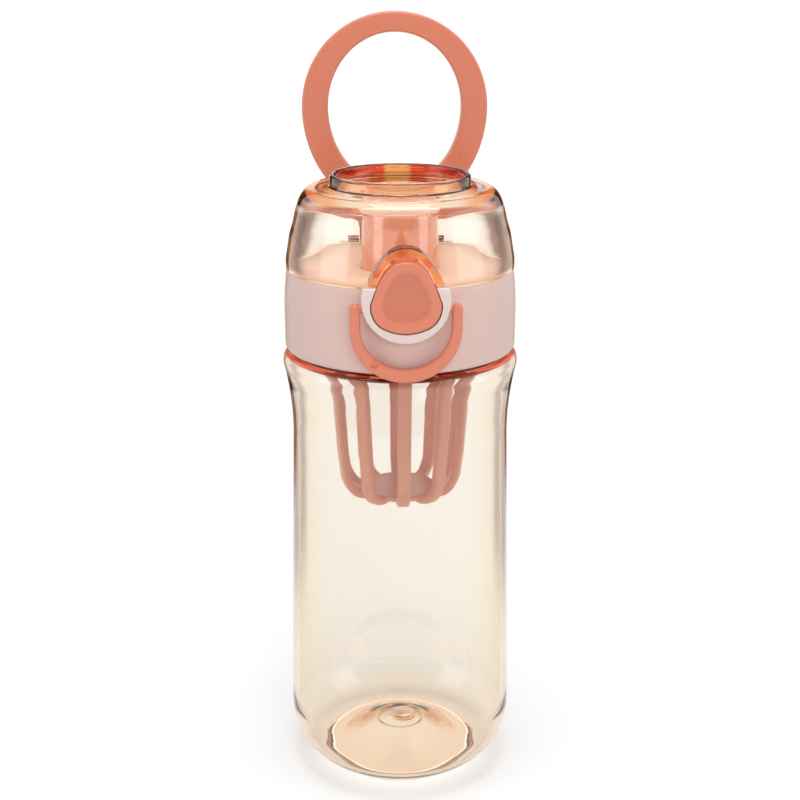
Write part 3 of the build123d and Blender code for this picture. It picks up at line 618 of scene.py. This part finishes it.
# %% infuser basket
RIBS = 10
RIB_WIDTH = 4.2
RIB_TURN = 1.3
rib_path = flow([
    (27.4, 150.6), (26.4, 148.9), (24.6, 147.2), (23.3, 144.8), (22.5, 140.4), (21.9, 136.0), (20.45, 120.2),
    (19.3, 107.0), (18.4, 101.6), (15.95, 97.65), (12.6, 96.2), (10.0, 96.1), (8.4, 96.1), (7.0, 96.1),
], 5)
rib = swept("rib", rib_path, RIB_WIDTH, (3.2, 2.4), 0.9)
bm = bmesh.new()
for n in range(RIBS):
    turn = Matrix.Rotation(math.radians(RIB_TURN + n * 360 / RIBS), 4, "Z")
    before = len(bm.verts)
    bm.from_mesh(rib.data)
    bm.verts.ensure_lookup_table()
    bmesh.ops.transform(bm, matrix=turn, verts=bm.verts[before:])
basket = to_object(bm, "basket")
bpy.data.objects.remove(rib)
sleeve = turned("sleeve", [
    (26.5, 149.2), (27.0, 148.8), (27.8, 148.8), (28.2, 149.2), (28.2, 160.5), (30.5, 160.5), (30.7, 160.7),
    (30.7, 161.7), (30.5, 161.9), (26.7, 161.9), (26.5, 161.7),
])
bowl = turned("bowl", flow([
    (0.01, 95.3), (5.0, 95.3), (9.5, 95.5), (11.6, 95.9), (12.2, 96.8), (11.7, 97.7), (9.5, 97.6), (5.0, 97.5),
    (0.01, 97.5),
], 5))
cut(basket, sleeve, "UNION")
cut(basket, bowl, "UNION")
place(basket, "infuser", "infuser_basket", BRIGHTENED_BASKET)

# %% [markdown]
# The spout is a smooth, slightly tapered tube with a rolled lip. Its flange lies under the deck.

# %% spout
spout = turned("spout_tube", flow([(12.4, 172.4), (12.0, 182), (11.55, 192.2)], 4) + arc((10.6, 192.5), 0.9, 0, 90, 5)
               + [(8.6, 193.4), (8.0, 193.1), (7.6, 192.5), (7.6, 169.4), (13.3, 163.7), (15.0, 163.7), (15.0, 167.8),
                  (17.0, 167.8), (17.0, 169.4), (12.4, 169.4)])
SPOUT = plastic("glossy spout plastic", (0.70, 0.240, 0.142), (0.68, 0.230, 0.135), (0.22, 0.32), glow=0.1, coat=1.0)
SPOUT.node_tree.nodes["Principled BSDF"].inputs["Coat IOR"].default_value = 2.4
place(spout, "cap", "spout", SPOUT)

# %% [markdown]
# The collar is the pale outer shell of the cap. A boss grows out of its front and holds the button,
# and two ears at the back hold the hinge pin. The boss is joined on, and then the pocket is cut.

# %% collar
BUTTON_HALF = 10.4
BUTTON_LOW = 159.9
BUTTON_TALL = 21.5
button_shares = (
    (0.00, 0.000), (0.39, 0.028), (0.73, 0.105), (0.925, 0.225), (1.00, 0.373), (0.94, 0.495),
    (0.79, 0.675), (0.58, 0.855), (0.32, 0.965),
)


def button_outline(gap=0.0, steps=6):
    """The rounded triangle of the button, grown by a gap, as a closed ring of (x, z)."""
    half = BUTTON_HALF + gap
    tall = BUTTON_TALL + 2 * gap
    low = BUTTON_LOW - gap
    right = [(x * half, low + z * tall) for x, z in button_shares]
    ring = right + [(0.0, low + tall)] + [(-x, z) for x, z in right[:0:-1]]
    closed = flow(ring[-2:] + ring + ring[:3], steps)
    return closed[2 * steps:-2 * steps - 1]


def disc_outline(radius, mid_z, top_z, steps=64):
    """A circle with its top cut off level."""
    rise = math.degrees(math.asin((top_z - mid_z) / radius))
    return arc((0, mid_z), radius, 180 - rise, 360 + rise, steps)


BOSS_Z = 170.0
PIVOT_Z = 166.9
PIVOT_BACK = -38.8
BOSS_TOP = 173.6
DECK_Z = 171.5
collar = turned("collar", flow([
    (35.9, 146.1), (36.45, 146.4), (36.72, 147.6), (36.76, 153), (36.78, 160), (36.5, 165.5), (36.1, 169.6),
    (35.9, 171.0),
], 5) + [
    (35.75, 171.35), (35.4, DECK_Z), (12.55, DECK_Z), (12.55, 169.4), (34.4, 169.4), (34.4, 146.5), (34.8, 146.1),
])
boss = slab("boss", disc_outline(12.75, BOSS_Z, BOSS_TOP), 40.0, 33.1)
cut(boss, turned("boss_room", [(0.01, 140), (35.3, 140), (35.3, 171.2), (36.38, 171.2), (36.38, 180), (0.01, 180)]))
cut(collar, boss, "UNION")
cut(collar, slab("pocket", button_outline(0.35), 42.0, 35.6))
cut(collar, slab("stem_hole", [(-3.4, 166.4), (3.4, 166.4), (3.4, 169.2), (-3.4, 169.2)], 36.0, 32.0))
cut(collar, slab("tab_slot", [(-4.4, 168.0), (4.4, 168.0), (4.4, 173.0), (-4.4, 173.0)], 30.4, 26.4))

# %% [markdown]
# Two ears stand at the back of the collar and hold the ends of the hinge pin. Each is a small plate
# with a round end, so a plate and a rod are joined to the collar.

# %% hinge ears
PIN_BACK = 40.2
PIN_Z = 168.0
PIN_BORE = 1.56
EAR_R = 3.4
for side in (-1, 1):
    ear_from, ear_to = sorted((side * 17.2, side * 20.4))
    ear = side_slab("ear", [
        (31.0, PIN_Z - 4.8), (PIN_BACK - EAR_R, PIN_Z - 4.8), (PIN_BACK, PIN_Z - EAR_R), (PIN_BACK, PIN_Z + EAR_R),
        (31.0, PIN_Z + EAR_R),
    ], ear_from, ear_to)
    cut(ear, turned("ear_room", [(0.01, 160), (35.3, 160), (35.3, 175), (0.01, 175)]))
    cut(ear, rod("ear_end", EAR_R, PIN_BACK, PIN_Z, ear_from, ear_to), "UNION")
    cut(collar, ear, "UNION")
    cut(collar, rod("pivot_hole", 0.97, PIVOT_BACK, PIVOT_Z, *sorted((side * 11.0, side * 16.2)), 24))
cut(collar, rod("pin_hole", 1.52, PIN_BACK, PIN_Z, -22, 22))
place(collar, "cap", "cap_shell", COLLAR)

# %% [markdown]
# A paler trim ring frames the button. It is a thick washer with a rounded rim, open at the top where
# the lid's hood closes it.

# %% trim ring
trim = slab("trim_ring", disc_outline(13.15, BOSS_Z, BOSS_TOP), 41.5, 40.0, 0.6, 4)
cut(trim, slab("trim_hole", button_outline(0.22), 43.0, 39.0))
place(trim, "cap", "button_bezel", TRIM)

# %% [markdown]
# The button is a soft triangle with a rounded rim and a shallow dish for the thumb. Its outline is
# drawn smaller and smaller, each ring at its own depth, and the rings are bridged. This keeps the rim
# even all round, which an inset of a flat face doesn't on so tight a curve.

# %% button
BUTTON_FRONT = 41.9
ROUNDING = 1.0
button_rings = [(0.0, 37.4)]
for step in range(6):
    lean = math.radians(18 * step)
    button_rings.append((ROUNDING * (1 - math.cos(lean)), BUTTON_FRONT - ROUNDING * (1 - math.sin(lean))))
button_rings += [
    (1.6, 41.86), (2.3, 41.78), (2.8, 41.66), (3.15, 41.5), (3.45, 41.3), (3.75, 41.14), (4.1, 41.04), (4.6, 40.99),
    (5.6, 40.96),
]
button = stacked("button", [(button_outline(-inset, 8), front) for inset, front in button_rings])
stem = slab("stem", [(-3, 166.8), (3, 166.8), (3, 168.8), (-3, 168.8)], 37.6, 33.1)
cut(button, stem, "UNION")
place(button, "button", "release_button", BUTTON)

# %% [markdown]
# The lid is clear too. A spun dome with a hollow knob is joined to an arched hood and two hinge arms,
# and the button's outline is cut through the hood.

# %% lid
dome_out = flow([
    (36.08, 171.8), (36.08, 174.6), (35.47, 178.4), (34.78, 182.3), (33.66, 186.2), (32.87, 189.7), (32.22, 191.7),
    (31.46, 193.7), (30.49, 195.2), (29.3, 196.4), (27.96, 197.0),
], 5)
dome_in = flow([
    (25.07, 194.8), (28.29, 192.96), (30.15, 190.2), (31.37, 186.75), (32.46, 182.8), (33.2, 178.9), (33.88, 174.8),
    (33.88, 171.8),
], 5)
knob = [(22.5, 197.0)] + [(22.05, 197.4)] + flow([(22.05, 199.9), (21.9, 200.45), (21.45, 200.8)], 4) + flow([
    (21.1, 200.8), (20.75, 200.6), (20.55, 200.1)], 4) + [(20.55, 197.6), (20.1, 197.2), (0.01, 197.2)]
under = [(0.01, 195.6), (9.5, 195.6), (9.5, 194.8)]
dome = turned("dome", dome_out + knob + under + dome_in)
hood_shares = ((1.00, 0.000), (0.975, 0.130), (0.775, 0.495), (0.50, 0.825), (0.225, 0.973), (0.00, 1.000))
HOOD_HALF = 11.0
HOOD_FOOT = 173.9
HOOD_TALL = 10.95
hood_right = [(x * HOOD_HALF, HOOD_FOOT + z * HOOD_TALL) for x, z in hood_shares]
hood_outline = flow(hood_right + [(-x, z) for x, z in hood_right[-2::-1]], 6)
hood = slab("hood", hood_outline, 40.5, 33.4, 0.5, 3)
wall_middle = [(r + 1.1, z) for r, z in dome_in]
wall_middle = [(0.01, wall_middle[0][1])] + wall_middle + [(wall_middle[-1][0], 160), (0.01, 160)]
cut(hood, turned("hood_room", wall_middle))
cut(dome, hood, "UNION")
cut(dome, slab("hood_window", button_outline(0.45), 44.0, 35.2))

# %% [markdown]
# Two arms reach back from the dome's rim to knuckles on the hinge pin. They are part of the same clear
# moulding, so each is joined to the dome. Thin clear plastic lets the lamps through to the deck below
# it, so the dome throws no shadow.

# %% hinge arms
for side in (-1, 1):
    arm_from, arm_to = sorted((side * 12.9, side * 16.9))
    arm = side_slab("arm", [
        (30.5, 171.85), (30.5, 178.0), (34.6, 178.0), (PIN_BACK + 2.9, PIN_Z), (PIN_BACK - 2.9, PIN_Z),
        (34.6, 171.85),
    ], arm_from, arm_to)
    cut(arm, rod("knuckle", 3.2, PIN_BACK, PIN_Z, arm_from, arm_to), "UNION")
    cut(arm, turned("arm_room", wall_middle))
    cut(dome, arm, "UNION")
cut(dome, rod("pin_hole", PIN_BORE, PIN_BACK, PIN_Z, -18, 18))
place(dome, "lid", "lid_dome", LID_CLEAR)
dome.visible_shadow = False

# %% lid ring
ring = turned("knob_ring", [(19.75, 197.3), (19.85, 197.2), (20.45, 197.2), (20.45, 199.6), (20.25, 199.8),
                            (19.95, 199.8), (19.75, 199.6)])
place(ring, "lid", "lid_ring", RING_CLEAR)

# %% [markdown]
# The carry loop is a moulded oval with a tongue down to the hinge. The outline is drawn once, the hole
# is cut, and a bevel rounds both rims. It asks for 2 mm, and clamp_overlap holds it at 0.93 mm.

# %% carry loop
LOOP_Z = 216.9
LOOP_EDGE = 2.0


def oval(half, top, low, start_deg, end_deg, steps=64):
    """Points of an oval about the loop's middle, taller below than above."""
    points = []
    for n in range(steps + 1):
        a = math.radians(start_deg + (end_deg - start_deg) * n / steps)
        tall = top if math.sin(a) >= 0 else low
        points.append((half * math.cos(a), LOOP_Z + tall * math.sin(a)))
    return points


tongue_right = [(15.9, 188.6), (14.4, 186.4), (13.2, 184.0), (12.6, 181.0), (12.6, PIN_Z)]
loop_outline = oval(30.9, 30.9, 35.6, -56, 236, 120) + [(-x, z) for x, z in tongue_right] + tongue_right[::-1]
loop = slab("loop", loop_outline, -PIN_BACK + 3.1, -PIN_BACK - 3.1)
cut(loop, slab("finger_hole", oval(22.2, 24.4, 26.5, 0, 357, 118), -30, -50))
bm = bmesh.new()
bm.from_mesh(loop.data)
rims = [
    e for e in bm.edges
    if abs(e.verts[0].co.y - e.verts[1].co.y) < 0.01 * mm and e.calc_face_angle(0) > math.radians(60)
    and min(v.co.z for v in e.verts) > (PIN_Z + 0.1) * mm
]
bmesh.ops.bevel(
    bm, geom=rims, offset=LOOP_EDGE * mm, segments=6, profile=0.5, affect="EDGES", material=-1,
    clamp_overlap=True,
)
bm.to_mesh(loop.data)
bm.free()
cut(loop, rod("knuckle", 3.1, PIN_BACK, PIN_Z, -12.6, 12.6), "UNION")
cut(loop, slab("spring_notch", [(-3.5, 163.4), (3.5, 163.4), (3.5, 172.6), (-3.5, 172.6)], -30, -50))
cut(loop, rod("pin_hole", PIN_BORE, PIN_BACK, PIN_Z, -14, 14))
place(loop, "loop", "carry_loop", SALMON)

# %% [markdown]
# The lock bail is a slim U with round ends. It hangs on two pins in the boss, with a washer on each
# side, and the round mark of an ejector pin shows on its front.

# %% lock bail
BAIL_HALF = 16.63
BAIL_IN = 13.43
BAIL_IN_TALL = 12.63
BEND_Z = 161.23
outer_bend = arc((0, BEND_Z), BAIL_HALF, 180, 360, 48)
inner_bend = [
    (BAIL_IN * math.cos(math.radians(a)), BEND_Z + BAIL_IN_TALL * math.sin(math.radians(a)))
    for a in range(360, 179, -4)
]
right_tip = arc((BAIL_HALF - 1.6, PIVOT_Z), 1.6, 0, 180, 12)
left_tip = arc((-BAIL_HALF + 1.6, PIVOT_Z), 1.6, 0, 180, 12)
bail = slab("bail", outer_bend + right_tip + inner_bend + left_tip, 40.4, 37.2, 0.8, 4)
for side in (-1, 1):
    cut(bail, rod("washer", 1.15, PIVOT_BACK, PIVOT_Z, *sorted((side * 12.62, side * 14.0)), 32), "UNION")
cut(bail, rod("bail_hole", 1.0, PIVOT_BACK, PIVOT_Z, -18, 18))
cut(bail, slab("pin_mark", [(-9.3 + x, 150.6 + z) for x, z in arc((0, 0), 1.2, 0, 345, 23)], 41.0, 39.8))
place(bail, "bail", "lock_bail", SALMON)

# %% [markdown]
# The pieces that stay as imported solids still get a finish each.

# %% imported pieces
finishes = {
    "cap_gasket": SILICONE, "cap_liner": SALMON, "spout_gasket": SILICONE, "vent_valve": SILICONE,
    "lid_seal": SILICONE, "latch_slide": SALMON, "latch_strike": LID_CLEAR, "hinge_pin": STEEL,
    "hinge_spring": STEEL, "button_spring": STEEL, "bail_pin_left": STEEL, "bail_pin_right": STEEL,
}
for node, material in finishes.items():
    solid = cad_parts[node]
    solid.data.materials.clear()
    solid.data.materials.append(material)
print("packed pieces finished:", len(finishes))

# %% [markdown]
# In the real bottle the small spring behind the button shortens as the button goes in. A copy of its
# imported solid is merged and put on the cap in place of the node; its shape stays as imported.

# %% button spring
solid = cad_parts["button_spring"]
bm = bmesh.new()
bm.from_mesh(solid.data)
bmesh.ops.transform(bm, matrix=solid.matrix_world, verts=bm.verts)
press_coil = to_object(bm, "press_coil")
place(press_coil, "cap", "button_spring", STEEL)
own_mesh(press_coil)

# %% [markdown]
# The camera stands where the photograph was taken from: a long lens, a little above the lid, looking
# down. The bottle is turned by a hair, so the camera moves round it instead. The Standard view keeps
# white at white and every colour as it is written.

# %% camera
DISTANCE = 435.6
HEIGHT = 265.3
TILT = math.radians(17.64)
TURN = math.radians(2.6)
FOCAL = 63.0
SENSOR = 36.0
lens = bpy.data.cameras.new("camera")
lens.lens = FOCAL
lens.sensor_width = SENSOR
lens.clip_start = 0.01
camera = bpy.data.objects.new("camera", lens)
camera.location = (-DISTANCE * math.sin(TURN) * mm, -DISTANCE * math.cos(TURN) * mm, HEIGHT * mm)
camera.rotation_euler = (math.pi / 2 - TILT, 0, -TURN)
bpy.context.scene.collection.objects.link(camera)
bpy.context.scene.camera = camera
bpy.context.scene.view_settings.view_transform = "Standard"
print("camera at", [round(v, 3) for v in camera.location])

# %% [markdown]
# The studio is a white tent. What the camera, a reflection or a ray through the plastic meets beyond
# the object is plain white, and a softer level lights the object itself. A mirrored or bent view finds a
# darker, warmer room on the camera's side, as in a real studio, so that clear pieces show their skins.

# %% studio
ROOM_LIGHT = 0.45
DARK_SIDE = (0.46, 0.33, 0.24)
DARK_TO = -0.75
WHITE_FROM = -0.45


def seen_rays(nodes, link):
    """One where a ray comes from the camera, a reflection or clear plastic, and nought elsewhere."""
    path = nodes.new("ShaderNodeLightPath")
    seen = None
    for title in ("Is Camera Ray", "Is Glossy Ray", "Is Transmission Ray"):
        if seen is None:
            seen = path.outputs[title]
            continue
        either = nodes.new("ShaderNodeMath")
        either.operation = "MAXIMUM"
        link(seen, either.inputs[0])
        link(path.outputs[title], either.inputs[1])
        seen = either.outputs[0]
    return path, seen


world = bpy.data.worlds.new("studio")
bpy.context.scene.world = world
world.use_nodes = True
nodes = world.node_tree.nodes
link = world.node_tree.links.new
path, seen = seen_rays(nodes, link)
room = nodes["Background"]
room.inputs["Color"].default_value = (1, 1, 1, 1)
room.inputs["Strength"].default_value = ROOM_LIGHT
backdrop = nodes.new("ShaderNodeBackground")
backdrop.inputs["Strength"].default_value = 1.0
way = nodes.new("ShaderNodeTexCoord")
parts = nodes.new("ShaderNodeSeparateXYZ")
fall = nodes.new("ShaderNodeMapRange")
fall.inputs["From Min"].default_value = DARK_TO
fall.inputs["From Max"].default_value = WHITE_FROM
plain = nodes.new("ShaderNodeMath")
plain.operation = "ADD"
plain.use_clamp = True
whiten = nodes.new("ShaderNodeMath")
whiten.operation = "MAXIMUM"
shade = nodes.new("ShaderNodeMix")
shade.data_type = "RGBA"
shade.inputs[6].default_value = (*DARK_SIDE, 1)
shade.inputs[7].default_value = (1, 1, 1, 1)
choose = nodes.new("ShaderNodeMixShader")
link(way.outputs["Generated"], parts.inputs[0])
link(parts.outputs["Y"], fall.inputs["Value"])
link(path.outputs["Is Camera Ray"], plain.inputs[0])
link(path.outputs["Diffuse Depth"], plain.inputs[1])
link(plain.outputs[0], whiten.inputs[0])
link(fall.outputs["Result"], whiten.inputs[1])
link(whiten.outputs[0], shade.inputs[0])
link(shade.outputs[2], backdrop.inputs["Color"])
link(seen, choose.inputs[0])
link(room.outputs[0], choose.inputs[1])
link(backdrop.outputs[0], choose.inputs[2])
link(choose.outputs[0], nodes["World Output"].inputs["Surface"])
print("world:", world.name)

# %% [markdown]
# Two tall soft boxes at the sides and a broad one overhead put highlights on the glossy pieces and light
# the deck through the lid. A fourth, by the camera, only lights: it stays out of reflections and of the
# view through clear plastic, where it would show as a bright square.


# %% soft boxes
def soft_box(name, place_at, aim, width, height, power, mirrored=True):
    """A rectangular lamp that looks at a point, and may stay out of reflections."""
    lamp = bpy.data.lights.new(name, "AREA")
    lamp.shape = "RECTANGLE"
    lamp.size = width
    lamp.size_y = height
    lamp.energy = power
    holder = bpy.data.objects.new(name, lamp)
    holder.location = place_at
    holder.rotation_euler = (Vector(aim) - Vector(place_at)).to_track_quat("-Z", "Y").to_euler()
    holder.visible_glossy = mirrored
    holder.visible_transmission = mirrored
    bpy.context.scene.collection.objects.link(holder)


soft_box("left box", (-0.75, -0.25, 0.25), (0, 0, 0.15), 0.45, 0.8, 1.3)
soft_box("right box", (0.75, -0.25, 0.25), (0, 0, 0.15), 0.45, 0.8, 1.1)
soft_box("front box", (0.1, -0.9, 0.5), (0, 0, 0.15), 0.5, 0.35, 2.6, mirrored=False)
soft_box("top box", (0.0, -0.05, 1.15), (0, 0, 0.15), 0.8, 0.8, 5.4)

# %% [markdown]
# Photographers stand dark cards beside the white backdrop, just out of the picture. The rim of a clear
# bottle mirrors them and draws a dark line down its sides. These cards fade at their inner, lower and
# upper ends. They show only in reflections and throw no shadow.

# %% dark cards
CARD_BACK = 147.0
CARD_IN = 54
CARD_OUT = 125
CARD_TOP = 330
card_finish, nodes, link, shader = new_material("brown card")
shader.inputs["Base Color"].default_value = (0.24, 0.08, 0.025, 1)
shader.inputs["Specular IOR Level"].default_value = 0.0
shader.inputs["Roughness"].default_value = 0.9
where = nodes.new("ShaderNodeTexCoord")
axes = nodes.new("ShaderNodeSeparateXYZ")
across = nodes.new("ShaderNodeMath")
across.operation = "ABSOLUTE"
link(where.outputs["Object"], axes.inputs[0])
link(axes.outputs["X"], across.inputs[0])
tall_part = between(nodes, link, axes.outputs["Z"], 46, 300, 26)
inner_end = faced(nodes, link, across.outputs[0], CARD_IN * mm, (CARD_IN + 30) * mm)
link(times(nodes, link, tall_part, inner_end), shader.inputs["Alpha"])
for side in (-1, 1):
    card = slab("card", [
        (side * CARD_IN, 0.5), (side * CARD_OUT, 0.5), (side * CARD_OUT, CARD_TOP), (side * CARD_IN, CARD_TOP),
    ], -CARD_BACK, -CARD_BACK - 1)
    card.data.materials.append(card_finish)
    card.visible_camera = False
    card.visible_diffuse = False
    card.visible_transmission = False
    card.visible_shadow = False
print("cards at", CARD_BACK, "mm behind the axis")

# %% [markdown]
# The floor is white paper. It takes the object's shadow as a plain surface does, and for the eye and
# for reflections a little light of its own brings it up to the white of the backdrop. Far from the
# lamps it needs more of it, and so does the paper under the clear foot, which in truth gets the light
# that the plastic gathers.

# %% floor
bm = bmesh.new()
bmesh.ops.create_grid(bm, x_segments=1, y_segments=1, size=4.0)
floor = to_object(bm, "floor")
paper, nodes, link, shader = new_material("white paper")
shader.inputs["Base Color"].default_value = (0.8, 0.8, 0.8, 1)
shader.inputs["Roughness"].default_value = 0.9
shader.inputs["Specular IOR Level"].default_value = 0.0
shader.inputs["Emission Color"].default_value = (1, 1, 1, 1)
seen = seen_rays(nodes, link)[1]
where = nodes.new("ShaderNodeTexCoord")
distance = nodes.new("ShaderNodeVectorMath")
distance.operation = "LENGTH"
lift = nodes.new("ShaderNodeMapRange")
lift.inputs["From Min"].default_value = 0.2
lift.inputs["From Max"].default_value = 1.6
lift.inputs["To Min"].default_value = 0.32
lift.inputs["To Max"].default_value = 0.74
under = nodes.new("ShaderNodeMapRange")
under.inputs["From Min"].default_value = 24 * mm
under.inputs["From Max"].default_value = 35 * mm
under.inputs["To Min"].default_value = 0.42
under.inputs["To Max"].default_value = 0.0
total = nodes.new("ShaderNodeMath")
link(where.outputs["Object"], distance.inputs[0])
link(distance.outputs["Value"], lift.inputs["Value"])
link(distance.outputs["Value"], under.inputs["Value"])
link(lift.outputs["Result"], total.inputs[0])
link(under.outputs["Result"], total.inputs[1])
link(times(nodes, link, seen, total.outputs[0]), shader.inputs["Emission Strength"])
floor.data.materials.append(paper)
print("floor:", paper.name)
